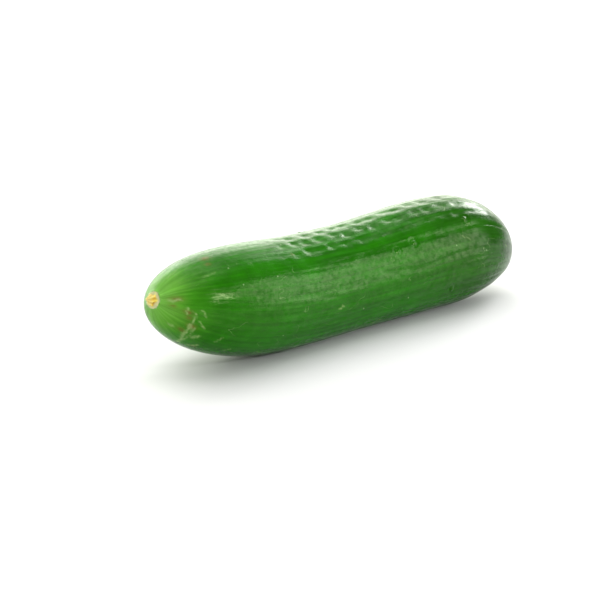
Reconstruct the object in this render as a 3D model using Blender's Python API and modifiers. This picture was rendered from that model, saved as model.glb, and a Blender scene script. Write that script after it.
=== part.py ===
"""A mini cucumber as picked, lying on its belly.

It is three pieces: the fruit, the stub of its stem, and the dried rest of its flower.
Sizes are in metres. X runs from the blossom end to the stem end, and Z is up.
The origin is on the ground, under the middle of the whole cucumber.
"""

import math

import bmesh
import bpy
from mathutils import Vector

MM = 0.001

# The fruit's outline, as distances along X from the blossom tip or from the stem tip.
LENGTH = 155 * MM
BLOSSOM_HALF_RADIUS = 17.2 * MM
BLOSSOM_HALF_FROM_BLOSSOM = 39 * MM
WAIST_RADIUS = 17.05 * MM
WAIST_FROM_BLOSSOM = 73 * MM
SHOULDER_RADIUS = 18.3 * MM
SHOULDER_FROM_STEM = 37 * MM

# The two ends narrow over these lengths. A higher bluntness keeps an end full for longer.
BLOSSOM_TAPER = 49.5 * MM
BLOSSOM_BLUNTNESS = 2.5
BLOSSOM_ROUNDNESS = 2.0
STEM_TAPER = 33 * MM
STEM_BLUNTNESS = 1.8
STEM_ROUNDNESS = 1.8

# The midline: level over the belly, bowed to one side, turned up at the blossom end and
# down at the stem end.
SIDE_BOW = 2.5 * MM
BLOSSOM_BEND_LENGTH = 60 * MM
BLOSSOM_LIFT = 9.2 * MM
BLOSSOM_TURN = 1.2 * MM
STEM_BEND_LENGTH = 32.5 * MM
STEM_DROP = 7.3 * MM

# The section: three faint lobes, one for each seed chamber, and a belly flattened where it lies.
LOBES = 3
LOBE_SWELL = 0.25 * MM
BELLY_FLAT_DEPTH = 0.4 * MM

# The scar at the blossom end, and the dried flower base that sits in it.
SCAR_RADIUS = 2.2 * MM
SCAR_DEPTH = 0.6 * MM
FLOWER_NECK_RADIUS = 1.1 * MM
FLOWER_RISE = 1.9 * MM
FLOWER_LEAN = 1.0 * MM

# The stub of the stem, in its dimple at the other end.
STUB_RADIUS = 2.8 * MM
STUB_RIBS = 5
STUB_RIB_HEIGHT = 0.25 * MM
STUB_RISE = 0.7 * MM
STUB_EDGE = 0.3 * MM
DIMPLE_DEPTH = 1.0 * MM

# Pieces that touch keep this gap, and a cutter runs this far past the skin.
GAP = 0.3 * MM
CUTTER_RUNOUT = 3 * MM

# How finely the pieces are drawn, and how often a search halves its range.
FRUIT_SIDES = 48
FRUIT_RINGS = 56
ROUND_SIDES = 40
HALVINGS = 40

SKIN_GREEN = (0.045, 0.19, 0.012, 1)
STUB_GREEN = (0.22, 0.27, 0.10, 1)
FLOWER_YELLOW = (0.62, 0.42, 0.10, 1)


def smooth_step(share):
    share = min(max(share, 0.0), 1.0)
    return share * share * (3 - 2 * share)


def body_radius(along):
    """The fruit's radius before its ends narrow: blossom half, waist, shoulder."""
    if along < WAIST_FROM_BLOSSOM:
        run = WAIST_FROM_BLOSSOM - BLOSSOM_HALF_FROM_BLOSSOM
        share = smooth_step((along - BLOSSOM_HALF_FROM_BLOSSOM) / run)
        return BLOSSOM_HALF_RADIUS + (WAIST_RADIUS - BLOSSOM_HALF_RADIUS) * share
    run = LENGTH - SHOULDER_FROM_STEM - WAIST_FROM_BLOSSOM
    share = smooth_step((along - WAIST_FROM_BLOSSOM) / run)
    return WAIST_RADIUS + (SHOULDER_RADIUS - WAIST_RADIUS) * share


def end_taper(from_tip, taper, bluntness, roundness):
    """1 along the body, falling to 0 at a tip over the length of its taper."""
    share = min(max(1 - from_tip / taper, 0.0), 1.0)
    return (1 - share**bluntness) ** (1 / roundness)


def fruit_radius(along):
    blossom = end_taper(along, BLOSSOM_TAPER, BLOSSOM_BLUNTNESS, BLOSSOM_ROUNDNESS)
    stem = end_taper(LENGTH - along, STEM_TAPER, STEM_BLUNTNESS, STEM_ROUNDNESS)
    return body_radius(along) * blossom * stem


def midline(along):
    """The middle of the fruit's section, with the belly's underside pressed flat at Z = 0."""
    blossom_bend = max(1 - along / BLOSSOM_BEND_LENGTH, 0.0) ** 2
    stem_bend = max(1 - (LENGTH - along) / STEM_BEND_LENGTH, 0.0) ** 2
    bow = SIDE_BOW * (1 - (2 * along / LENGTH - 1) ** 2)
    belly_to_middle = body_radius(along) - LOBE_SWELL - BELLY_FLAT_DEPTH
    rise = BLOSSOM_LIFT * blossom_bend - STEM_DROP * stem_bend
    return Vector((along, bow - BLOSSOM_TURN * blossom_bend, belly_to_middle + rise))


def heading(along):
    """The midline's direction, towards the stem."""
    step = 0.2 * MM
    start = max(along - step, 0.0)
    end = min(along + step, LENGTH)
    return (midline(end) - midline(start)).normalized()


def skin_point(along, angle):
    """A point on the skin. The angle goes round the midline from the side, over the top."""
    ahead = heading(along)
    side = Vector((0, 0, 1)).cross(ahead).normalized()
    up = ahead.cross(side)
    radius = fruit_radius(along)
    # Sine of three times the angle is -1 straight up and +1 straight down: the lobes are
    # turned so that the belly lies between two of them.
    lobe = -LOBE_SWELL * math.sin(LOBES * angle) * radius / body_radius(along)
    return midline(along) + (radius + lobe) * (math.cos(angle) * side + math.sin(angle) * up)


def material(name, colour, roughness):
    made = bpy.data.materials.new(name)
    made.use_nodes = True
    shader = made.node_tree.nodes["Principled BSDF"]
    shader.inputs["Base Color"].default_value = colour
    shader.inputs["Roughness"].default_value = roughness
    shader.inputs["Metallic"].default_value = 0.0
    made.diffuse_color = colour
    return made


def add_object(name, mesh, collection):
    made = bpy.data.objects.new(name, mesh)
    collection.objects.link(made)
    return made


def mesh_from(bm, name):
    mesh = bpy.data.meshes.new(name)
    bm.to_mesh(mesh)
    bm.free()
    mesh.shade_smooth()
    return mesh


def point_along(obj, place, direction):
    """Puts an object at a place, with its own Z along a direction."""
    obj.location = place
    obj.rotation_euler = direction.to_track_quat("Z", "Y").to_euler()


def make_fruit(collection):
    """The whole fruit, from a ball whose rings are spread along the midline."""
    bm = bmesh.new()
    bmesh.ops.create_uvsphere(bm, u_segments=FRUIT_SIDES, v_segments=FRUIT_RINGS, radius=1)
    for vert in bm.verts:
        along = LENGTH * (1 + vert.co.z) / 2
        vert.co = skin_point(along, math.atan2(vert.co.y, vert.co.x))
    flatten_belly(bm)
    bmesh.ops.recalc_face_normals(bm, faces=bm.faces)
    fruit = add_object("fruit", mesh_from(bm, "fruit"), collection)
    fruit.data.materials.append(material("cucumber_skin", SKIN_GREEN, 0.32))
    return fruit


def flatten_belly(bm):
    """Cuts away what reaches below the ground and closes the cut with one flat face."""
    everything = bm.verts[:] + bm.edges[:] + bm.faces[:]
    bmesh.ops.bisect_plane(
        bm, geom=everything, plane_co=(0, 0, 0), plane_no=(0, 0, -1), clear_outer=True
    )
    rim = [edge for edge in bm.edges if edge.is_boundary]
    bmesh.ops.contextual_create(bm, geom=rim)


def add_seat_cutter(name, radius, floor, cutters):
    """A cutter for a round seat, from the seat's floor out past the tip at its own origin."""
    bm = bmesh.new()
    height = floor + CUTTER_RUNOUT
    bmesh.ops.create_cone(
        bm, cap_ends=True, segments=ROUND_SIDES, radius1=radius, radius2=radius, depth=height
    )
    bmesh.ops.translate(bm, vec=(0, 0, height / 2 - floor), verts=bm.verts)
    cutter = add_object(name, mesh_from(bm, name), cutters)
    cutter.hide_render = True
    cutter.display_type = "WIRE"
    return cutter


def make_flower_rest(seat_floor_depth, collection):
    """The dried base of the flower: a low disc that draws in to a short tuft, leaning over."""
    base_radius = SCAR_RADIUS - GAP
    floor = GAP - seat_floor_depth
    outline = [
        (0, FLOWER_RISE),
        (0.45 * FLOWER_NECK_RADIUS, 0.92 * FLOWER_RISE),
        (FLOWER_NECK_RADIUS, FLOWER_RISE / 2),
        (base_radius, 0),
        (base_radius, floor),
        (0, floor),
    ]
    bm = bmesh.new()
    points = [bm.verts.new((radius, 0, height)) for radius, height in outline]
    edges = [bm.edges.new(ends) for ends in zip(points, points[1:])]
    bmesh.ops.spin(
        bm,
        geom=points + edges,
        cent=(0, 0, 0),
        axis=(0, 0, 1),
        angle=math.tau,
        steps=ROUND_SIDES // 2,
        use_merge=True,
    )
    bmesh.ops.remove_doubles(bm, verts=bm.verts, dist=0.01 * MM)
    bmesh.ops.recalc_face_normals(bm, faces=bm.faces)
    for vert in bm.verts:
        vert.co.x -= FLOWER_LEAN * (max(vert.co.z, 0) / FLOWER_RISE) ** 2
    flower = add_object("flower_remnant", mesh_from(bm, "flower_remnant"), collection)
    flower.data.materials.append(material("dried_flower", FLOWER_YELLOW, 0.75))
    return flower


def make_stem_stub(seat_floor_depth, collection):
    """What is left of the stem: a short ribbed post with a cut face."""
    bm = bmesh.new()
    height = seat_floor_depth - GAP + STUB_RISE
    bmesh.ops.create_cone(
        bm,
        cap_ends=True,
        segments=ROUND_SIDES,
        radius1=STUB_RADIUS,
        radius2=STUB_RADIUS,
        depth=height,
    )
    for vert in bm.verts:
        angle = math.atan2(vert.co.y, vert.co.x)
        rib = 1 + STUB_RIB_HEIGHT / STUB_RADIUS * math.cos(STUB_RIBS * angle)
        vert.co.x *= rib
        vert.co.y *= rib
        vert.co.z += STUB_RISE - height / 2
    stub = add_object("stem_stub", mesh_from(bm, "stem_stub"), collection)
    edge = stub.modifiers.new("worn edge", "BEVEL")
    edge.width = STUB_EDGE
    edge.segments = 2
    stub.data.materials.append(material("stem_stub", STUB_GREEN, 0.7))
    return stub


def seat_floor(seat_radius, depth, along_at):
    """How far behind a tip a seat's floor lies: its depth below where the skin is as wide."""
    near, far = 0.0, LENGTH / 4
    for _ in range(HALVINGS):
        middle = (near + far) / 2
        if fruit_radius(along_at(middle)) < seat_radius:
            near = middle
        else:
            far = middle
    return far + depth


def ground_middle(objects):
    """The middle of the pieces' box, at ground level."""
    bpy.context.view_layer.update()
    graph = bpy.context.evaluated_depsgraph_get()
    corners = []
    for obj in objects:
        shown = obj.evaluated_get(graph)
        corners += [shown.matrix_world @ vert.co for vert in shown.data.vertices]
    middle = Vector((0, 0, 0))
    for axis in (0, 1):
        values = [corner[axis] for corner in corners]
        middle[axis] = (min(values) + max(values)) / 2
    return middle


def main():
    for obj in list(bpy.data.objects):
        bpy.data.objects.remove(obj)
    cucumber = bpy.data.collections.new("cucumber")
    cutters = bpy.data.collections.new("cutters")
    bpy.context.scene.collection.children.link(cucumber)
    bpy.context.scene.collection.children.link(cutters)

    fruit = make_fruit(cucumber)

    blossom_tip = midline(0)
    blossom_out = -heading(0)
    scar_floor = seat_floor(SCAR_RADIUS, SCAR_DEPTH, lambda back: back)
    scar_cutter = add_seat_cutter("scar_cutter", SCAR_RADIUS, scar_floor, cutters)
    flower = make_flower_rest(scar_floor, cucumber)
    for obj in (scar_cutter, flower):
        point_along(obj, blossom_tip, blossom_out)

    stem_tip = midline(LENGTH)
    stem_out = heading(LENGTH)
    dimple_radius = STUB_RADIUS + STUB_RIB_HEIGHT + GAP
    dimple_floor = seat_floor(dimple_radius, DIMPLE_DEPTH, lambda back: LENGTH - back)
    dimple_cutter = add_seat_cutter("dimple_cutter", dimple_radius, dimple_floor, cutters)
    stub = make_stem_stub(dimple_floor, cucumber)
    for obj in (dimple_cutter, stub):
        point_along(obj, stem_tip, stem_out)

    seats = fruit.modifiers.new("seats", "BOOLEAN")
    seats.operation = "DIFFERENCE"
    seats.operand_type = "COLLECTION"
    seats.collection = cutters

    # One empty carries everything, and puts the ground under the cucumber's middle at the origin.
    frame = bpy.data.objects.new("cucumber_frame", None)
    cucumber.objects.link(frame)
    for obj in (fruit, flower, stub, scar_cutter, dimple_cutter):
        obj.parent = frame
    frame.location = -ground_middle((fruit, flower, stub))


main()
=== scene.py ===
import math
import random

import bpy
from mathutils import Matrix, Vector, noise


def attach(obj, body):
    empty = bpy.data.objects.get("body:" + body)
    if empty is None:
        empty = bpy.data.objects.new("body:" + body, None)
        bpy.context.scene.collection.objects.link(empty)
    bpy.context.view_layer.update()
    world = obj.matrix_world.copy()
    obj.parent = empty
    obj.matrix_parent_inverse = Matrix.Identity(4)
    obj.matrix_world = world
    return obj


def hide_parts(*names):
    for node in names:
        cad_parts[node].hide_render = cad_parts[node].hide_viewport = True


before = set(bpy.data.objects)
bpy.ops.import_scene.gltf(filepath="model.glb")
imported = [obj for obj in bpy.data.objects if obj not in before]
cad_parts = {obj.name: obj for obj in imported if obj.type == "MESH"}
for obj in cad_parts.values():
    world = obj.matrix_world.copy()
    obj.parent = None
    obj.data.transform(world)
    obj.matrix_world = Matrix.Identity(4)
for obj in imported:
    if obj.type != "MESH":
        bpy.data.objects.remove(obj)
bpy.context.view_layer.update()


# The fruit. It grew as one piece: crisp flesh under a thin, waxy skin, pale and blunt where the
# flower sat and darker towards the stem. It lies on its belly, bowed a little to one side.

MM = 0.001
LENGTH = 155 * MM
BLOSSOM_HALF_RADIUS = 17.2 * MM
BLOSSOM_HALF_FROM_BLOSSOM = 39 * MM
WAIST_RADIUS = 17.05 * MM
WAIST_FROM_BLOSSOM = 73 * MM
SHOULDER_RADIUS = 18.3 * MM
SHOULDER_FROM_STEM = 37 * MM
BLOSSOM_TAPER = 49.5 * MM
BLOSSOM_BLUNTNESS = 2.5
BLOSSOM_ROUNDNESS = 2.0
STEM_TAPER = 33 * MM
STEM_BLUNTNESS = 1.8
STEM_ROUNDNESS = 1.8
SIDE_BOW = 2.5 * MM
BLOSSOM_BEND_LENGTH = 60 * MM
BLOSSOM_LIFT = 9.2 * MM
BLOSSOM_TURN = 1.2 * MM
STEM_BEND_LENGTH = 32.5 * MM
STEM_DROP = 7.3 * MM
LOBES = 3
LOBE_SWELL = 0.25 * MM
BELLY_FLAT_DEPTH = 0.4 * MM
# Where the blossom end's ground point stands, so that the origin is under the cucumber's middle.
BLOSSOM_STAND = Vector((-77.42 * MM, -1.81 * MM, 0))

# The pits that the flower and the stem sit in, as depth under the tip and radius, in millimetres.
SCAR_PIT = [(0.86, 1.0), (0.86, 1.75), (0.74, 1.98), (0.36, 2.06), (0.12, 2.28), (0.24, 2.68)]
STEM_PIT = [(0.98, 3.62), (1.16, 3.36), (1.7, 3.24), (1.86, 2.9), (1.86, 1.6)]
SCAR_LIP = 0.3 * MM
STEM_PIT_LIP = 0.35 * MM
SKIN_SIDES = 56
SKIN_STEP = 2.0 * MM
OUTLINE_STEPS = 4000


def smooth_step(share):
    share = min(max(share, 0.0), 1.0)
    return share * share * (3 - 2 * share)


def body_radius(along):
    """The fruit's radius before its ends narrow: blossom half, waist, shoulder."""
    if along < WAIST_FROM_BLOSSOM:
        run = WAIST_FROM_BLOSSOM - BLOSSOM_HALF_FROM_BLOSSOM
        share = smooth_step((along - BLOSSOM_HALF_FROM_BLOSSOM) / run)
        return BLOSSOM_HALF_RADIUS + (WAIST_RADIUS - BLOSSOM_HALF_RADIUS) * share
    run = LENGTH - SHOULDER_FROM_STEM - WAIST_FROM_BLOSSOM
    share = smooth_step((along - WAIST_FROM_BLOSSOM) / run)
    return WAIST_RADIUS + (SHOULDER_RADIUS - WAIST_RADIUS) * share


def end_taper(from_tip, taper, bluntness, roundness):
    """1 along the body, falling to 0 at a tip over the length of its taper."""
    share = min(max(1 - from_tip / taper, 0.0), 1.0)
    return (1 - share**bluntness) ** (1 / roundness)


def fruit_radius(along):
    blossom = end_taper(along, BLOSSOM_TAPER, BLOSSOM_BLUNTNESS, BLOSSOM_ROUNDNESS)
    stem = end_taper(LENGTH - along, STEM_TAPER, STEM_BLUNTNESS, STEM_ROUNDNESS)
    return body_radius(along) * blossom * stem


def midline(along):
    """The middle of the fruit's section, standing where the whole cucumber stands."""
    blossom_bend = max(1 - along / BLOSSOM_BEND_LENGTH, 0.0) ** 2
    stem_bend = max(1 - (LENGTH - along) / STEM_BEND_LENGTH, 0.0) ** 2
    bow = SIDE_BOW * (1 - (2 * along / LENGTH - 1) ** 2)
    belly_to_middle = body_radius(along) - LOBE_SWELL - BELLY_FLAT_DEPTH
    rise = BLOSSOM_LIFT * blossom_bend - STEM_DROP * stem_bend
    local = Vector((along, bow - BLOSSOM_TURN * blossom_bend, belly_to_middle + rise))
    return BLOSSOM_STAND + local


def heading(along):
    """The midline's direction, towards the stem."""
    step = 0.2 * MM
    start = max(along - step, 0.0)
    end = min(along + step, LENGTH)
    return (midline(end) - midline(start)).normalized()


def outline_rings():
    """Ring places of the straight fruit, as distance along and radius: pit, skin, pit."""
    first = SCAR_PIT[-1][1] * MM + SCAR_LIP
    last = STEM_PIT[0][1] * MM + STEM_PIT_LIP
    rings = [(back * MM, radius * MM) for back, radius in SCAR_PIT]
    skin = []
    for k in range(OUTLINE_STEPS + 1):
        along = LENGTH * (1 - math.cos(math.pi * k / OUTLINE_STEPS)) / 2
        radius = fruit_radius(along)
        if radius > (first if along < LENGTH / 2 else last):
            skin.append((along, radius))
    reach = [0.0]
    for before, after in zip(skin, skin[1:]):
        reach.append(reach[-1] + math.dist(before, after))
    count = round(reach[-1] / SKIN_STEP)
    place = 0
    for k in range(count + 1):
        wanted = reach[-1] * k / count
        while place < len(reach) - 1 and reach[place] < wanted:
            place += 1
        rings.append(skin[place])
    rings += [(LENGTH - back * MM, radius * MM) for back, radius in STEM_PIT]
    return rings


def turned_body(name, rings, sides):
    """A straight body along X, pulled out of one disc ring by ring."""
    along, radius = rings[0]
    bpy.ops.object.select_all(action="DESELECT")
    bpy.ops.mesh.primitive_circle_add(
        vertices=sides,
        radius=radius,
        fill_type="NGON",
        location=(along, 0, 0),
        rotation=(0, math.pi / 2, 0),
    )
    body = bpy.context.object
    body.name = body.data.name = name
    bpy.ops.object.transform_apply(location=True, rotation=True, scale=True)
    bpy.ops.object.mode_set(mode="EDIT")
    for next_along, next_radius in rings[1:]:
        bpy.ops.mesh.extrude_region_move(
            TRANSFORM_OT_translate={"value": (next_along - along, 0, 0)}
        )
        grow = next_radius / radius
        bpy.ops.transform.resize(value=(1, grow, grow), center_override=(next_along, 0, 0))
        along, radius = next_along, next_radius
    bpy.ops.mesh.select_all(action="SELECT")
    bpy.ops.mesh.normals_make_consistent(inside=False)
    bpy.ops.object.mode_set(mode="OBJECT")
    return body


def smooth_by_halving(body, levels):
    """Halves every face as often as levels says, and rounds the mesh as it does so."""
    fine = body.modifiers.new("fine", "SUBSURF")
    fine.levels = fine.render_levels = levels
    bpy.ops.object.select_all(action="DESELECT")
    body.select_set(True)
    bpy.context.view_layer.objects.active = body
    bpy.ops.object.modifier_apply(modifier=fine.name)
    bpy.ops.object.shade_smooth()


# From here on, lengths that aren't multiplied by MM are in millimetres. The skin's pattern is laid
# out on a cylinder of this radius, so that a turn about the fruit is a length too.
PATTERN_RADIUS = 17

# Shallow oval hollows in rows along the fruit, between which the skin stands as a soft net. Each
# is kept as its place along, its turn, its half length and half width, and its share of the depth.
HOLLOW_ROWS = 23
HOLLOW_ROW_TURN = math.tau / HOLLOW_ROWS
HOLLOW_STEP = 6.0
HOLLOW_STEPS = range(4, 25)
FIRST_ROW = math.radians(93)
STEP_SCATTER = 0.2
ROW_SCATTER = 0.17
HALF_LENGTHS = (1.7, 2.5)
HALF_WIDTHS = (1.15, 1.6)
DEPTH_SHARES = (0.65, 1.0)

hollow_chance = random.Random(3)
hollows = {}
for row in range(HOLLOW_ROWS):
    for step in HOLLOW_STEPS:
        step_scatter = hollow_chance.uniform(-STEP_SCATTER, STEP_SCATTER)
        row_scatter = hollow_chance.uniform(-ROW_SCATTER, ROW_SCATTER)
        hollows[step, row] = (
            (step + 0.5 * (row % 2) + step_scatter) * HOLLOW_STEP,
            FIRST_ROW + (row + row_scatter) * HOLLOW_ROW_TURN,
            hollow_chance.uniform(*HALF_LENGTHS),
            hollow_chance.uniform(*HALF_WIDTHS),
            hollow_chance.uniform(*DEPTH_SHARES),
        )

# Corky brown marks: along from the blossom end, turn in degrees (90 is the top, 180 the front
# side), length along, width around, and strength.
BROWN_MARKS = [
    (2.8, 165, 1.8, 1.1, 1.0),
    (2.3, 184, 1.1, 0.8, 0.8),
    (5.6, 190, 1.7, 1.0, 1.0),
    (6.2, 199, 1.3, 0.9, 0.9),
    (6.4, 227, 1.4, 1.0, 1.0),
    (7.8, 212, 1.9, 1.2, 1.0),
    (15.5, 101, 2.2, 1.4, 1.0),
    (14.2, 113, 1.4, 1.0, 0.8),
    (13.6, 248, 1.2, 0.8, 0.6),
    (47.0, 122, 1.0, 0.7, 0.5),
]
# Where a spine fell off and left a low ring: along and turn in degrees.
SPINE_BASES = [(89.3, 147), (97.1, 143), (64, 76), (112, 205), (39, 40), (122, 133), (73, 252)]
# Healed scratches: start and end as along and turn in degrees, half width, strength.
SCRATCHES = [
    (10.1, 260, 7.6, 231, 0.4, 0.65),
    (7.6, 231, 7.4, 211, 0.3, 0.7),
    (7.4, 211, 7.6, 190, 0.25, 0.65),
    (9.6, 252, 8.6, 214, 0.25, 0.5),
    (9.0, 183, 10.2, 190, 0.25, 0.6),
    (8.9, 200, 11.0, 208, 0.22, 0.55),
    (10.3, 230, 11.1, 223, 0.5, 0.6),
    (12.5, 251, 13.5, 242, 0.4, 0.55),
    (16.2, 223, 17.5, 215, 0.22, 0.4),
    (21.5, 236, 23.2, 230, 0.22, 0.4),
    (1.8, 171, 3.4, 167, 0.4, 0.6),
    (5.3, 182, 5.4, 192, 0.22, 0.6),
    (3.7, 235, 4.3, 230, 0.4, 0.6),
    (3.2, 98, 8.5, 95, 0.3, 0.25),
    (10.4, 132, 15.0, 128, 0.22, 0.25),
    (60.3, 190, 62.6, 187, 0.18, 0.55),
    (80.0, 228, 83.0, 223, 0.2, 0.5),
    (118.0, 152, 120.0, 155, 0.15, 0.3),
    (33.0, 232, 36.0, 236, 0.2, 0.4),
    (52.0, 20, 58.0, 26, 0.25, 0.5),
    (101.0, 320, 104.0, 310, 0.3, 0.5),
]
# Long dents: where each starts and ends, as along and turn in degrees, and its depth.
DENTS = [
    (43.5, 165, 61, 178, 0.12),
    (80, 164, 98, 172, 0.2),
    (99, 171, 122, 166, 0.16),
    (60, 186, 92, 182, 0.13),
    (100, 188, 134, 184, 0.18),
    (40, 200, 74, 203, 0.12),
    (92, 205, 128, 202, 0.14),
    (70, 152, 90, 156, 0.1),
]
DENT_HALF_WIDTH = 0.85
DENT_WANDER = 0.5
DENT_FADE = 0.15

# How deep each kind of unevenness goes, from broad to fine.
SWELL_DEPTH = 0.14
PUCKER_DEPTH = 0.12
STREAK_DEPTH = (0.03, 0.09)
RIPPLE_DEPTH = 0.09
CREASE_DEPTH = (0.07, 0.08)
CREASE_WIDTH = 0.2
HOLLOW_DEPTH = 0.09
TOP_HOLLOW_DEPTH = 0.42
FAR_SIDE_HOLLOW_CUT = 0.06
STEM_END_RIDGES = 5
STEM_END_RIDGE_DEPTH = 0.12
SPINE_RING_RADIUS = 1.15
SPINE_RING_WIDTH = 0.4
SPINE_RING_DEPTH = 0.2
SPINE_BUMP_RADIUS = 0.7
SPINE_BASE_REACH = 2.5
# Inside this radius, at the two ends, the skin stays plain, so that its pits keep their shape.
PLAIN_END_RADIUS = 3.2 * MM
PLAIN_END_FADE = 2 * MM


def angle_apart(one, other):
    return abs((one - other + math.pi) % math.tau - math.pi)


def between(value, start, rise, end, fall):
    """1 within a stretch, falling smoothly to 0 at its start and its end."""
    return smooth_step((value - start) / rise) * smooth_step((end - value) / fall)


def hollow_depth(a, turn):
    """Depth of the oval hollows at a point, as a share of the deepest."""
    near_row = round((turn - FIRST_ROW) / HOLLOW_ROW_TURN)
    near_step = round(a / HOLLOW_STEP)
    depth = 0.0
    for row in (near_row - 1, near_row, near_row + 1):
        for step in (near_step - 1, near_step, near_step + 1):
            if (step, row % HOLLOW_ROWS) in hollows:
                at, at_turn, long, wide, deep = hollows[step, row % HOLLOW_ROWS]
                aside = angle_apart(turn, at_turn) * PATTERN_RADIUS
                depth += deep * math.exp(-(((a - at) / long) ** 2) - (aside / wide) ** 2)
    return depth


def dent_depth(a, turn):
    """Depth of the long dents at a point."""
    depth = 0.0
    for start, start_turn, end, end_turn, deep in DENTS:
        share = (a - start) / (end - start)
        if -DENT_FADE < share < 1 + DENT_FADE:
            at_turn = math.radians(start_turn + (end_turn - start_turn) * share)
            aside = angle_apart(turn, at_turn) * PATTERN_RADIUS
            aside += DENT_WANDER * noise.noise(Vector((a / 4, 0, deep * 50)))
            fade = between(share, -DENT_FADE, 2 * DENT_FADE, 1 + DENT_FADE, 2 * DENT_FADE)
            depth += deep * fade * math.exp(-((aside / DENT_HALF_WIDTH) ** 2))
    return depth


def relief(along, across, upward):
    """How far the skin lies under its outline, in millimetres."""
    a, c, s = along / MM, PATTERN_RADIUS * across, PATTERN_RADIUS * upward
    turn = math.atan2(upward, across)
    degrees = math.degrees(turn) % 360
    # Where along the fruit and about it each kind is found, as a share from 0 to 1.
    grown = smooth_step((a - 12) / 40)
    stemward = smooth_step((a - 95) / 45)
    netted = smooth_step((a - 36) / 18) * (1 - 0.75 * smooth_step((a - 112) / 20))
    top = between(degrees, 83, 10, 134, 22)
    far_side = between(degrees, 50, 10, 96, 12)
    rippled = between(degrees, 128, 14, 172, 20)
    underside = between(degrees, 195, 30, 345, 30)
    stem_end = between(a, 136, 14, LENGTH / MM, 4)
    # The kinds themselves, each with its own length along the fruit and about it.
    swell = 0.5 + 0.5 * noise.noise(Vector((a / 60, c / 7.0, s / 7.0)))
    pucker = 0.5 + 0.5 * noise.noise(Vector((a / 8, c / 3.6, s / 3.6 + 31)))
    streak = 0.5 + 0.5 * noise.noise(Vector((a / 26 - 3, c / 1.6, s / 1.6)))
    ripple = 0.5 + 0.5 * noise.noise(Vector((a / 1.8, c / 3.0, s / 3.0 - 9)))
    crease = noise.noise(Vector((a / 38 + 7, c / 2.9, s / 2.9)))
    ridges = 0.5 - 0.5 * math.cos(STEM_END_RIDGES * turn + 0.6)
    depth = SWELL_DEPTH * grown * swell
    depth += PUCKER_DEPTH * smooth_step((a - 30) / 30) * pucker * (1 - 0.6 * underside)
    depth += (STREAK_DEPTH[0] + STREAK_DEPTH[1] * grown) * streak * (1 - 0.5 * underside)
    depth += RIPPLE_DEPTH * netted * rippled * ripple
    creased = (CREASE_DEPTH[0] + CREASE_DEPTH[1] * stemward) * grown * smooth_step((148 - a) / 14)
    depth += creased * math.exp(-((crease / CREASE_WIDTH) ** 2))
    hollowed = HOLLOW_DEPTH - FAR_SIDE_HOLLOW_CUT * far_side + TOP_HOLLOW_DEPTH * top
    depth += hollowed * netted * hollow_depth(a, turn)
    depth += dent_depth(a, turn)
    depth += STEM_END_RIDGE_DEPTH * stem_end * ridges
    for at, at_degrees in SPINE_BASES:
        if abs(a - at) < SPINE_BASE_REACH:
            aside = angle_apart(turn, math.radians(at_degrees)) * PATTERN_RADIUS
            away = math.hypot(a - at, aside)
            off_ring = (away - SPINE_RING_RADIUS) / SPINE_RING_WIDTH
            depth += SPINE_RING_DEPTH * math.exp(-(off_ring**2))
            depth *= 1 - math.exp(-((away / SPINE_BUMP_RADIUS) ** 2))
    return depth


def bend_onto_midline(body):
    """Gives the straight skin its relief, then lays it along the midline, flat on the ground."""
    mesh = body.data
    skin_place = mesh.attributes.new("skin_place", "FLOAT_VECTOR", "POINT")
    bends = {}
    normals = [normal.vector.copy() for normal in mesh.vertex_normals]
    for vert, normal, place in zip(mesh.vertices, normals, skin_place.data):
        along, side, up = vert.co
        radius = max(math.hypot(side, up), 1e-6)
        across, upward = side / radius, up / radius
        place.vector = (along / MM, PATTERN_RADIUS * across, PATTERN_RADIUS * upward)
        swell = -LOBE_SWELL * math.sin(LOBES * math.atan2(upward, across))
        swell *= min(radius / body_radius(along), 1)
        if radius > PLAIN_END_RADIUS:
            fade = smooth_step((radius - PLAIN_END_RADIUS) / PLAIN_END_FADE)
            swell -= relief(along, across, upward) * MM * fade
        along, side, up = vert.co + swell * normal
        key = round(along, 6)
        if key not in bends:
            ahead = heading(along)
            beside = Vector((0, 0, 1)).cross(ahead).normalized()
            bends[key] = (midline(along), beside, ahead.cross(beside))
        middle, beside, above = bends[key]
        vert.co = middle + side * beside + up * above
        vert.co.z = max(vert.co.z, 0.0)


SCRATCH_REACH = 2
SCRATCH_WANDER = 0.5
SCRATCH_WANDER_LENGTH = 0.9
# The cork around the two pits: how far from each tip it is looked for, and its radius.
SCAR_CORK_REACH = 3
SCAR_CORK_RADIUS = 2.65
STEM_CORK_REACH = 5
STEM_CORK_RADIUS = 3.7
CORK_RAGGEDNESS = 0.25
CORK_EDGE = 0.5


def scratch_strength(a, turn, radius):
    """How strong the strongest scratch is at a point of the skin."""
    strength = 0.0
    for start, start_turn, end, end_turn, wide, deep in SCRATCHES:
        if min(start, end) - SCRATCH_REACH < a < max(start, end) + SCRATCH_REACH:
            run = Vector((end - start, math.radians(end_turn - start_turn) * radius))
            aside = turn - math.radians(start_turn)
            aside = ((aside + math.pi) % math.tau - math.pi) * radius
            here = Vector((a - start, aside))
            step = here / SCRATCH_WANDER_LENGTH
            here.x += SCRATCH_WANDER * noise.noise(Vector((step.x, step.y, start)))
            step = here / SCRATCH_WANDER_LENGTH
            here.y += SCRATCH_WANDER * noise.noise(Vector((step.x, step.y, start + 7)))
            share = min(max(here.dot(run) / run.length_squared, 0), 1)
            away = (here - share * run).length / wide
            strength = max(strength, deep * math.exp(-away * away))
    return strength


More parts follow.
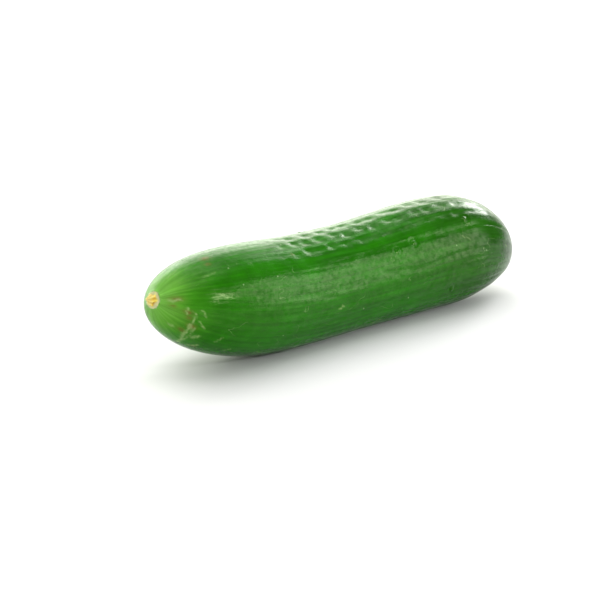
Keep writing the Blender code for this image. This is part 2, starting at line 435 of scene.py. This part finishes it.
def mark_skin(body):
    """Stores how brown, how scratched and how corky the skin is at each point."""
    marks = body.data.attributes.new("skin_marks", "FLOAT_VECTOR", "POINT")
    places = body.data.attributes["skin_place"].data
    for vert, place, mark in zip(body.data.vertices, places, marks.data):
        a, c, s = place.vector
        turn = math.atan2(s, c)
        radius = fruit_radius(a * MM) / MM
        brown = 0.0
        for at, degrees, long, wide, strength in BROWN_MARKS:
            if abs(a - at) < 2 * long:
                aside = angle_apart(turn, math.radians(degrees)) * radius
                away = ((a - at) / long) ** 2 + (aside / wide) ** 2
                brown = max(brown, strength * math.exp(-2 * away))
        corky = 0.0
        if a < SCAR_CORK_REACH or a > LENGTH / MM - STEM_CORK_REACH:
            from_middle = (vert.co - midline(a * MM)).length / MM
            rim = SCAR_CORK_RADIUS if a < SCAR_CORK_REACH else STEM_CORK_RADIUS
            rim += CORK_RAGGEDNESS * noise.noise(Vector((c / 5, s / 5, a)))
            corky = smooth_step((rim - from_middle) / CORK_EDGE)
        mark.vector = (brown, scratch_strength(a, turn, radius), corky)


fruit = turned_body("cucumber_fruit", outline_rings(), SKIN_SIDES)
smooth_by_halving(fruit, 2)
bend_onto_midline(fruit)
mark_skin(fruit)


def new_material(name):
    made = bpy.data.materials.new(name)
    made.use_nodes = True
    return made, made.node_tree, made.node_tree.nodes["Principled BSDF"]


def add_node(tree, kind, settings=None, inputs=None):
    """A node with its settings, and its inputs, by name or number, linked or set to values."""
    node = tree.nodes.new("ShaderNode" + kind)
    for name, value in (settings or {}).items():
        setattr(node, name, value)
    for name, value in (inputs or {}).items():
        if isinstance(value, bpy.types.NodeSocket):
            tree.links.new(value, node.inputs[name])
        else:
            node.inputs[name].default_value = value
    return node


def add_ramp(tree, factor, stops):
    """A colour ramp through stops of a position and either a grey or a colour."""
    ramp = add_node(tree, "ValToRGB", inputs={"Fac": factor})
    elements = ramp.color_ramp.elements
    while len(elements) < len(stops):
        elements.new(1.0)
    for element, (position, colour) in zip(elements, stops):
        if isinstance(colour, (int, float)):
            colour = (colour, colour, colour)
        element.position = position
        element.color = (*colour, 1)
    return ramp.outputs["Color"]


def add_mix(tree, blend, factor, below, above):
    settings = {"data_type": "RGBA", "blend_type": blend}
    return add_node(tree, "Mix", settings, {0: factor, 6: below, 7: above}).outputs[2]


def add_math(tree, operation, *values, clamp=False):
    settings = {"operation": operation, "use_clamp": clamp}
    return add_node(tree, "Math", settings, dict(enumerate(values))).outputs[0]


def add_noise(tree, vector, scale, detail=3.0, roughness=0.5):
    inputs = {"Vector": vector, "Scale": scale, "Detail": detail, "Roughness": roughness}
    return add_node(tree, "TexNoise", inputs=inputs).outputs["Fac"]


def stretched(tree, vector, scale):
    return add_node(tree, "Mapping", inputs={"Vector": vector, "Scale": scale}).outputs[0]


def add_bump(tree, shader, height, strength, depth):
    inputs = {"Height": height, "Strength": strength, "Distance": depth}
    bump = add_node(tree, "Bump", inputs=inputs)
    tree.links.new(bump.outputs["Normal"], shader.inputs["Normal"])


BAND_WANDER = 7.0
PALE_DOT = (0.4, 0.58, 0.28, 1)
SCUFFED_GREEN = (0.35, 0.5, 0.22, 1)
CORKY_BROWN = (0.115, 0.10, 0.02, 1)
HEALED_GREEN = (0.34, 0.48, 0.18, 1)

skin, tree, shader = new_material("cucumber_skin")
place = add_node(tree, "Attribute", {"attribute_name": "skin_place"}).outputs["Vector"]
marks = add_node(tree, "Attribute", {"attribute_name": "skin_marks"}).outputs["Vector"]
along, _, above_middle = add_node(tree, "SeparateXYZ", inputs={"Vector": place}).outputs
brown, scratch, corky = add_node(tree, "SeparateXYZ", inputs={"Vector": marks}).outputs

# Pale green at the blossom end, darker towards the stem, with its bands drawn out by streaks.
streaks = add_noise(tree, stretched(tree, place, (0.045, 0.42, 0.42)), 1.0, 3.0)
shifted = add_math(tree, "ADD", along, add_math(tree, "MULTIPLY", streaks, -BAND_WANDER))
share = add_math(tree, "MULTIPLY_ADD", shifted, MM / LENGTH, BAND_WANDER / 2 * MM / LENGTH)
greens = [
    (0.0, (0.155, 0.42, 0.058)),
    (0.02, (0.095, 0.31, 0.026)),
    (0.045, (0.034, 0.19, 0.007)),
    (0.09, (0.013, 0.124, 0.0018)),
    (0.28, (0.012, 0.125, 0.0014)),
    (0.6, (0.011, 0.118, 0.0012)),
    (0.82, (0.011, 0.080, 0.0016)),
    (1.0, (0.010, 0.055, 0.003)),
]
green = add_ramp(tree, share, greens)
# A soft mottle, and fine veins along the fruit that grow stronger away from the blossom end.
mottle = add_noise(tree, place, 0.13, 4.0, 0.6)
shade = add_ramp(tree, mottle, [(0.3, 0.82), (0.7, 1.15)])
green = add_mix(tree, "MULTIPLY", 1.0, green, shade)
veins = add_noise(tree, stretched(tree, place, (0.03, 0.9, 0.9)), 1.0, 2.0)
vein_shade = add_ramp(tree, veins, [(0.35, 0.76), (0.65, 1.15)])
vein_share = add_math(tree, "MULTIPLY", along, 1 / 60, clamp=True)
vein_share = add_ramp(tree, vein_share, [(0.1, 0.45), (1.0, 0.95)])
green = add_mix(tree, "MULTIPLY", vein_share, green, vein_shade)
# A few small pale dots.
dots = add_node(tree, "TexVoronoi", inputs={"Vector": place, "Scale": 0.36})
dot = add_ramp(tree, dots.outputs["Distance"], [(0.05, 1), (0.12, 0)])
dot_pick = add_node(tree, "SeparateColor", inputs={"Color": dots.outputs["Color"]}).outputs[0]
dot = add_math(tree, "MULTIPLY", dot, add_math(tree, "GREATER_THAN", dot_pick, 0.8))
green = add_mix(tree, "MIX", add_math(tree, "MULTIPLY", dot, 0.4), green, PALE_DOT)
# Faint winding scuffs, broken off here and there.
winding = add_noise(tree, stretched(tree, place, (0.08, 0.14, 0.14)), 1.0, 3.0, 0.45)
line = add_ramp(tree, winding, [(0.496, 0), (0.5, 1), (0.504, 0)])
broken = add_ramp(tree, add_noise(tree, place, 0.16, 2.0), [(0.55, 0), (0.62, 1)])
scuff = add_math(tree, "MULTIPLY", add_math(tree, "MULTIPLY", line, broken), 0.28)
green = add_mix(tree, "MIX", scuff, green, SCUFFED_GREEN)
# The brown marks, the healed scratches, and the cork around the pits at both ends.
bark = add_noise(tree, place, 1.6, 4.0, 0.7)
brown = add_math(tree, "MULTIPLY", brown, add_ramp(tree, bark, [(0.34, 0), (0.52, 1)]))
green = add_mix(tree, "MIX", brown, green, CORKY_BROWN)
flaky = add_ramp(tree, add_noise(tree, place, 1.1, 4.0, 0.7), [(0.3, 0.3), (0.6, 1)])
green = add_mix(tree, "MIX", add_math(tree, "MULTIPLY", scratch, flaky), green, HEALED_GREEN)
cork = add_ramp(tree, bark, [(0.35, (0.38, 0.38, 0.18)), (0.6, (0.72, 0.72, 0.52))])
green = add_mix(tree, "MIX", corky, green, cork)
tree.links.new(green, shader.inputs["Base Color"])

# The wax: patchy all over, and duller towards the stem and on the belly.
haze = add_noise(tree, place, 0.35, 5.0, 0.65)
rough = add_ramp(tree, haze, [(0.3, 0.10), (0.72, 0.28)])
tree.links.new(rough, shader.inputs["Roughness"])
bloom = add_noise(tree, place, 0.65, 6.0, 0.75)
waxy = add_ramp(tree, bloom, [(0.38, 0.185), (0.63, 0.815)])
stem_share = add_math(tree, "MULTIPLY", along, MM / LENGTH)
worn = add_ramp(tree, stem_share, [(0.74, 1), (0.86, 0.5)])
waxy = add_math(tree, "MULTIPLY", waxy, worn)
belly = add_math(tree, "MULTIPLY_ADD", above_middle, 1 / (2 * PATTERN_RADIUS), 0.5)
belly = add_ramp(tree, belly, [(0.18, 0.4), (0.42, 1)])
waxy = add_math(tree, "MULTIPLY", waxy, belly)
tree.links.new(waxy, shader.inputs["Specular IOR Level"])
shader.inputs["IOR"].default_value = 1.28
shader.inputs["Specular Tint"].default_value = (0.82, 1.0, 0.48, 1)
# The finest unevenness: a grain, and fibres drawn out along the fruit.
grain = add_noise(tree, place, 1.0, 4.0, 0.65)
fibres = add_noise(tree, stretched(tree, place, (0.07, 0.75, 0.75)), 1.0, 4.0, 0.6)
fine_relief = add_mix(tree, "MIX", 0.62, grain, fibres)
add_bump(tree, shader, fine_relief, 0.8, 0.16 * MM)
fruit.data.materials.append(skin)

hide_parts("fruit")
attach(fruit, "root")


# What is left of the flower. The petals dried to a small yellow, papery tuft, still stuck in the
# corky scar at the pale end, its folds drawn together into one leaning point.

# Rings from the root of the tuft to its point, as height over the fruit's tip, and radius.
FLOWER_TOP = 1.76
FLOWER_RINGS = [(-0.62, 1.65), (-0.5, 1.8), (-0.14, 1.9), (-0.06, 2.42), (0.03, 2.34), (0.1, 1.6)]
FLOWER_RINGS += [(0.3, 1.42), (0.55, 1.28), (0.8, 1.12), (1.05, 0.92), (1.3, 0.66), (1.55, 0.4)]
FLOWER_RINGS += [(FLOWER_TOP, 0.18)]
FLOWER_SIDES = 40
FLOWER_LEAN = 1.0
PETALS = 5
# The folds and the crumpling as shares of the radius, the folds' twist in radians for each
# millimetre of height, and how ragged the edge is.
FOLD_SHARE = 0.16
CRUMPLE_SHARE = 0.3
FOLD_TWIST = 2.6
RAGGED_HEIGHT = 0.3


def stand_at_end(body, tip, outward):
    """Turns a piece made along X so that it stands out of the fruit at one of its tips."""
    stand = outward.to_track_quat("Z", "Y").to_matrix().to_4x4()
    stand.translation = tip
    lay_up = Matrix(((0, 1, 0, 0), (0, 0, 1, 0), (1, 0, 0, 0), (0, 0, 0, 1)))
    body.data.transform(stand @ lay_up)


flower_rings = [(height * MM, radius * MM) for height, radius in FLOWER_RINGS]
flower = turned_body("dried_flower_tuft", flower_rings, FLOWER_SIDES)
smooth_by_halving(flower, 2)
petal_place = flower.data.attributes.new("petal_place", "FLOAT_VECTOR", "POINT")
for vert, place in zip(flower.data.vertices, petal_place.data):
    height, side, up = vert.co / MM
    turn = math.atan2(up, side)
    risen = min(max(height / FLOWER_TOP, 0), 1)
    wander = 1.5 * noise.noise(Vector((side, up, height)))
    fold = math.cos(PETALS * turn + FOLD_TWIST * height + wander)
    crumple = noise.noise(Vector((1.2 * side, 1.2 * up, 1.6 * height + 5)))
    free = smooth_step((height + 0.12) / 0.35)
    grow = 1 + free * (FOLD_SHARE * fold + CRUMPLE_SHARE * crumple)
    ragged = RAGGED_HEIGHT * free * noise.noise(Vector((1.3 * side, 1.3 * up, 40))) * (1 - risen)
    lean = FLOWER_LEAN * risen**1.5
    place.vector = (fold, risen, crumple)
    vert.co = Vector((height + ragged, side * grow - lean, up * grow)) * MM
stand_at_end(flower, midline(0), -heading(0))

CREAM_RIM = (0.60, 0.63, 0.33, 1)

dried, tree, shader = new_material("dried_petals")
petal = add_node(tree, "Attribute", {"attribute_name": "petal_place"}).outputs["Vector"]
fold, risen, crumple = add_node(tree, "SeparateXYZ", inputs={"Vector": petal}).outputs
ambers = [
    (0.0, (0.42, 0.20, 0.010)),
    (0.3, (0.70, 0.48, 0.032)),
    (0.7, (0.82, 0.67, 0.11)),
    (1.0, (0.84, 0.74, 0.28)),
]
# The petals' amber runs paler towards the point. It also carries painted shade: it follows the
# crumpling, darker in its dents and paler on its bulges.
paler = add_math(tree, "MULTIPLY_ADD", risen, 0.75, 0.5)
paler = add_math(tree, "MULTIPLY_ADD", crumple, 0.5, paler)
amber = add_ramp(tree, paler, ambers)
# Painted shade in the folds: the amber is darkened and browned in the valleys where the folds draw
# in.
crease = add_ramp(tree, fold, [(0.0, (0.7, 0.52, 0.3)), (0.6, (1, 1, 1))])
amber = add_mix(tree, "MULTIPLY", 0.6, amber, crease)
object_place = add_node(tree, "TexCoord").outputs["Object"]
speckle = add_noise(tree, object_place, 2400.0, 3.0, 0.6)
speckle_shade = add_ramp(tree, speckle, [(0.35, (0.75, 0.65, 0.5)), (0.55, (1, 1, 1))])
amber = add_mix(tree, "MULTIPLY", 0.5, amber, speckle_shade)
skirt = add_ramp(tree, risen, [(0.0, 0.9), (0.05, 0.8), (0.11, 0)])
amber = add_mix(tree, "MIX", skirt, amber, CREAM_RIM)
tree.links.new(amber, shader.inputs["Base Color"])
wrinkle = add_noise(tree, object_place, 3600.0, 4.0, 0.65)
add_bump(tree, shader, wrinkle, 0.7, 0.08 * MM)
dry = add_ramp(tree, speckle, [(0.3, 0.55), (0.7, 0.8)])
tree.links.new(dry, shader.inputs["Roughness"])
shader.inputs["Subsurface Weight"].default_value = 0.2
shader.inputs["Subsurface Radius"].default_value = (0.0008, 0.0005, 0.0002)
flower.data.materials.append(dried)

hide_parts("flower_remnant")
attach(flower, "root")


# The stem stub. The fruit was cut from the vine with a knife, which left a short, five-ribbed
# stump in the hollow of the dark end, its cut face dried around a ring of woody strands.

# Rings from the root of the stump over its cut face, as height over the fruit's tip, and radius.
STUB_RADIUS = 2.8
STUB_RINGS = [(-1.56, 2.5), (-1.5, 2.76), (-1.0, STUB_RADIUS), (-0.3, STUB_RADIUS)]
STUB_RINGS += [(0.25, 2.78), (0.5, 2.68), (0.62, 2.48), (0.6, 2.1), (0.52, 1.6), (0.5, 1.1)]
STUB_RINGS += [(0.4, 0.6), (0.36, 0.25)]
STUB_SIDES = 40
STUB_RIBS = 5
STUB_RIB_HEIGHT = 0.25
BARK_HEIGHT = 0.07
TORN_HEIGHT = 0.09
STUB_STRANDS = 10
STRAND_HEIGHT = 0.1
STRAND_RING_RADIUS = 1.75
STRAND_RING_WIDTH = 0.3

stub_rings = [(height * MM, radius * MM) for height, radius in STUB_RINGS]
stub = turned_body("stem_cut_stub", stub_rings, STUB_SIDES)
smooth_by_halving(stub, 2)
stub_place = stub.data.attributes.new("stub_place", "FLOAT_VECTOR", "POINT")
for vert, place in zip(stub.data.vertices, stub_place.data):
    height, side, up = vert.co / MM
    turn = math.atan2(up, side)
    radius = math.hypot(side, up)
    outer = smooth_step((radius - 1.2) / 1.3)
    on_face = smooth_step((height - 0.25) / 0.2)
    rib = STUB_RIB_HEIGHT * (0.5 + 0.5 * math.cos(STUB_RIBS * turn))
    bark = BARK_HEIGHT * noise.noise(Vector((3.0 * side, 3.0 * up, 0.5 * height)))
    ring = math.exp(-(((radius - STRAND_RING_RADIUS) / STRAND_RING_WIDTH) ** 2))
    strands = STRAND_HEIGHT * ring * (0.5 + 0.5 * math.cos(STUB_STRANDS * turn))
    torn = TORN_HEIGHT * noise.noise(Vector((2.0 * side, 2.0 * up, 9))) + strands
    grow = 1 + outer * (rib + bark) / max(radius, 0.5)
    place.vector = (radius, turn, on_face)
    vert.co = Vector((height + on_face * torn, side * grow, up * grow)) * MM
stand_at_end(stub, midline(LENGTH), heading(LENGTH))

cut_stem, tree, shader = new_material("cut_stem")
stem_at = add_node(tree, "Attribute", {"attribute_name": "stub_place"}).outputs["Vector"]
radius, turn, on_face = add_node(tree, "SeparateXYZ", inputs={"Vector": stem_at}).outputs
object_place = add_node(tree, "TexCoord").outputs["Object"]
fibre = add_noise(tree, object_place, 1500.0, 4.0, 0.6)
bark_green = add_ramp(tree, fibre, [(0.3, (0.05, 0.075, 0.015)), (0.7, (0.17, 0.19, 0.06))])
face_rings = [
    (0.1, (0.42, 0.36, 0.18)),
    (0.45, (0.55, 0.5, 0.28)),
    (0.6, (0.36, 0.27, 0.11)),
    (0.75, (0.46, 0.42, 0.2)),
    (0.92, (0.2, 0.2, 0.07)),
]
cut_face = add_ramp(tree, add_math(tree, "MULTIPLY", radius, 1 / STUB_RADIUS), face_rings)
mottled = add_ramp(tree, fibre, [(0.3, (0.7, 0.65, 0.55)), (0.65, (1.1, 1.1, 1.1))])
cut_face = add_mix(tree, "MULTIPLY", 0.9, cut_face, mottled)
tree.links.new(add_mix(tree, "MIX", on_face, bark_green, cut_face), shader.inputs["Base Color"])
add_bump(tree, shader, fibre, 0.8, 0.15 * MM)
dry = add_ramp(tree, fibre, [(0.3, 0.6), (0.7, 0.85)])
tree.links.new(dry, shader.inputs["Roughness"])
stub.data.materials.append(cut_stem)

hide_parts("stem_stub")
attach(stub, "root")


# The floor, the lights and the camera. A wide sheet of white paper under the cucumber, soft lights
# and a glowing wall around it. None of them are part of the cucumber.

FLOOR_SIZE = 8

bpy.ops.object.select_all(action="DESELECT")
bpy.ops.mesh.primitive_plane_add(size=FLOOR_SIZE, location=(0, 0, 0))
floor = bpy.context.object
floor.name = "studio_floor"
paper, tree, shader = new_material("white_paper")
shader.inputs["Base Color"].default_value = (0.7, 0.7, 0.7, 1)
shader.inputs["Roughness"].default_value = 0.9
floor.data.materials.append(paper)


def add_soft_light(name, place, target, size, power):
    """A white rectangular light, turned to its target and itself out of the camera's sight."""
    bpy.ops.object.light_add(type="AREA", location=place)
    lamp = bpy.context.object
    lamp.name = name
    lamp.data.shape = "RECTANGLE"
    lamp.data.size, lamp.data.size_y = size
    lamp.data.energy = power
    lamp.visible_camera = False
    lamp.rotation_euler = (Vector(target) - Vector(place)).to_track_quat("-Z", "Y").to_euler()


# A tall white card to the right, a small one high up, a window behind the stem end, a strip light
# behind the pale end, a fill to the left and a small lamp in front.
add_soft_light("right_card", (1.05, -0.92, 0.44), (0, 0, 0.1), (0.8, 0.88), 9.4)
add_soft_light("high_card", (0.94, 0.23, 0.87), (-0.03, 0, 0.02), (0.26, 0.2), 0.6)
add_soft_light("stem_end_window", (1.41, 0.38, 0.65), (0.06, 0, 0.02), (0.46, 0.5), 10.5)
add_soft_light("strip_behind", (0.2, 1.12, 0.64), (-0.07, 0, 0.02), (0.75, 0.6), 3.2)
add_soft_light("left_fill", (-1.1, -0.7, 0.8), (0, 0, 0.02), (1.0, 1.0), 6)
add_soft_light("front_lamp", (0.34, -1.03, 0.46), (-0.06, 0, 0.02), (0.13, 0.06), 4.0)

# The room: a ceiling of soft light, and a pale wall that glows behind the cucumber. Each has its
# brightness at a few heights or directions.
CEILING = [(0.76, 0.0), (0.86, 2.2)]
GLOW = [(0.3, 0.1), (0.45, 0.4), (0.57, 0.9), (0.66, 2.0), (0.74, 3.1), (0.82, 3.3), (1.0, 2.6)]
GLOW_TINT = (0.98, 1.0, 0.89)
GLOW_SIDE = (0.35, 0.94, 0)
STUDIO_STRENGTH = 3.3
# What the camera sees behind everything: times the studio's strength, this is a plain white.
BACKDROP = (0.3, 0.3, 0.3, 1)
world = bpy.data.worlds.new("studio")
bpy.context.scene.world = world
world.use_nodes = True
sky = world.node_tree
direction = add_node(sky, "TexCoord").outputs["Generated"]
height = add_node(sky, "SeparateXYZ", inputs={"Vector": direction}).outputs["Z"]
ceiling = add_ramp(sky, height, [(x, y / STUDIO_STRENGTH) for x, y in CEILING])
dot_product = {"operation": "DOT_PRODUCT"}
behind = add_node(sky, "VectorMath", dot_product, {0: direction, 1: GLOW_SIDE})
glow_stops = [(x, [y * share / STUDIO_STRENGTH for share in GLOW_TINT]) for x, y in GLOW]
glow = add_ramp(sky, behind.outputs["Value"], glow_stops)
studio = add_mix(sky, "ADD", 1.0, glow, ceiling)
seen = add_node(sky, "LightPath").outputs["Is Camera Ray"]
studio = add_mix(sky, "MIX", seen, studio, BACKDROP)
sky.links.new(studio, sky.nodes["Background"].inputs["Color"])
sky.nodes["Background"].inputs["Strength"].default_value = STUDIO_STRENGTH

# The camera looks at the blossom end from the front left, a little from above.
VIEW_AZIMUTH = math.radians(-44)
VIEW_ELEVATION = math.radians(16)
VIEW_DISTANCE = 0.5335
VIEW_ANGLE = math.radians(20)
VIEW_TARGET = Vector((-7.98, 9.91, 9.27)) * MM
back = Vector(
    (
        math.sin(VIEW_AZIMUTH) * math.cos(VIEW_ELEVATION),
        -math.cos(VIEW_AZIMUTH) * math.cos(VIEW_ELEVATION),
        math.sin(VIEW_ELEVATION),
    )
)
bpy.ops.object.camera_add(location=VIEW_TARGET + VIEW_DISTANCE * back)
camera = bpy.context.object
camera.rotation_euler = (-back).to_track_quat("-Z", "Y").to_euler()
camera.data.angle = VIEW_ANGLE
camera.data.clip_start = 0.01
bpy.context.scene.camera = camera
bpy.context.scene.view_settings.view_transform = "Standard"
